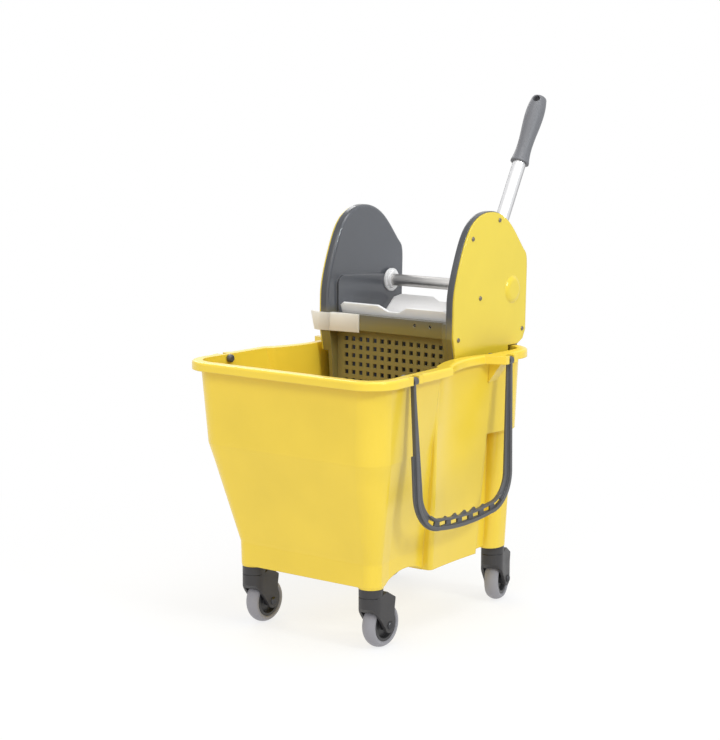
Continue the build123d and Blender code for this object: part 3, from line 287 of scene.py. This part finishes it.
# Camera at the photograph's place and angle
CAMERA_AT = Vector((1.92702, -2.59246, 0.93033))
CAMERA_TURN = radians(37.1)
CAMERA_TILT = radians(9.02)
SENSOR_HEIGHT = 36.0
FOCAL_LENGTH = 95.43
camera_data = bpy.data.cameras.new("camera")
camera_data.sensor_fit = "VERTICAL"
camera_data.sensor_height = SENSOR_HEIGHT
camera_data.lens = FOCAL_LENGTH
camera = bpy.data.objects.new("camera", camera_data)
scene.collection.objects.link(camera)
level = Vector((sin(CAMERA_TURN), -cos(CAMERA_TURN), 0.0))
back = level * cos(CAMERA_TILT) + Vector((0.0, 0.0, sin(CAMERA_TILT)))
right = Vector((cos(CAMERA_TURN), sin(CAMERA_TURN), 0.0))
axes = Matrix((right, back.cross(right), back)).transposed().to_4x4()
camera.matrix_world = Matrix.Translation(CAMERA_AT) @ axes
scene.camera = camera

# Soft round lamps: place, width in metres, power in watts and colour. All face the middle
MIDDLE = Vector((0.0, 0.0, 0.4))
WARM, PLAIN, COOL = (1.0, 0.97, 0.92), (1.0, 1.0, 1.0), (0.92, 1.0, 1.0)
LAMPS = {
    "key": ((-1.0, -2.7, 2.6), 2.0, 10, WARM),
    "front": ((0.8, -2.6, 2.8), 1.2, 26, WARM),
    "side": ((2.7, -0.4, 2.0), 0.60, 30, COOL),
    "top": ((0.9, -0.2, 3.1), 1.6, 30, PLAIN),
    "back": ((-2.5, 1.6, 2.2), 1.8, 20, PLAIN),
}
for name, (place, width, power, colour) in LAMPS.items():
    light = bpy.data.lights.new(name, "AREA")
    light.color = colour
    light.shape = "DISK"
    light.size = width
    light.energy = power
    lamp = bpy.data.objects.new(name, light)
    scene.collection.objects.link(lamp)
    lamp.location = place
    lamp.rotation_euler = (MIDDLE - Vector(place)).to_track_quat("-Z", "Y").to_euler()

# White studio: the world is white where it is seen, and a plain fill light elsewhere
FILL = 0.60
world = bpy.data.worlds.new("studio")
scene.world = world
world.use_nodes = True
tree = world.node_tree
background = tree.nodes["Background"]
background.inputs["Color"].default_value = (1, 1, 1, 1)
path = tree.nodes.new("ShaderNodeLightPath")
seen = path.outputs["Is Camera Ray"]
for ray in ("Is Glossy Ray", "Is Transmission Ray"):
    either = tree.nodes.new("ShaderNodeMath")
    either.operation = "MAXIMUM"
    tree.links.new(seen, either.inputs[0])
    tree.links.new(path.outputs[ray], either.inputs[1])
    seen = either.outputs[0]
strength = tree.nodes.new("ShaderNodeMapRange")
strength.inputs["To Min"].default_value = FILL
strength.inputs["To Max"].default_value = 1.0
tree.links.new(seen, strength.inputs["Value"])
tree.links.new(strength.outputs["Result"], background.inputs["Strength"])

# Pale floor that keeps the shadow near the object and fades into the white further out: half its
# width and the reach of the fade in metres, and the share of plain white at the fade's ends
FLOOR_HALF = 6.0
FLOOR_COLOUR = (0.93, 0.93, 0.93)
FLOOR_CLOUDS, FLOOR_SHADE = (3.0, 3.0), (0.99, 1.0)
FADE_REACH, FADE_WHITE = (0.30, 1.2), (0.75, 1.0)


def floor_material():
    n = Nodes("floor")
    n.set(Roughness=0.7, Specular_IOR_Level=0.2)
    pale = n.shade(FLOOR_COLOUR, n.spread(n.noise(*FLOOR_CLOUDS), *FLOOR_SHADE))
    n.join(pale, n.shader.inputs["Base Color"])
    reach = n.add("ShaderNodeVectorMath", operation="LENGTH")
    n.join(n.place, reach.inputs[0])
    white = n.add("ShaderNodeEmission")
    mix = n.add("ShaderNodeMixShader")
    n.join(n.ramp(reach.outputs["Value"], *FADE_REACH, *FADE_WHITE), mix.inputs["Fac"])
    n.join(n.shader.outputs["BSDF"], mix.inputs[1])
    n.join(white.outputs["Emission"], mix.inputs[2])
    n.join(mix.outputs["Shader"], n.tree.nodes["Material Output"].inputs["Surface"])
    return n.material


floor_mesh = bpy.data.meshes.new("floor")
corners = [(x * FLOOR_HALF, y * FLOOR_HALF, 0) for x, y in ((-1, -1), (1, -1), (1, 1), (-1, 1))]
floor_mesh.from_pydata(corners, [], [(0, 1, 2, 3)])
floor_mesh.materials.append(floor_material())
floor = bpy.data.objects.new("floor", floor_mesh)
scene.collection.objects.link(floor)
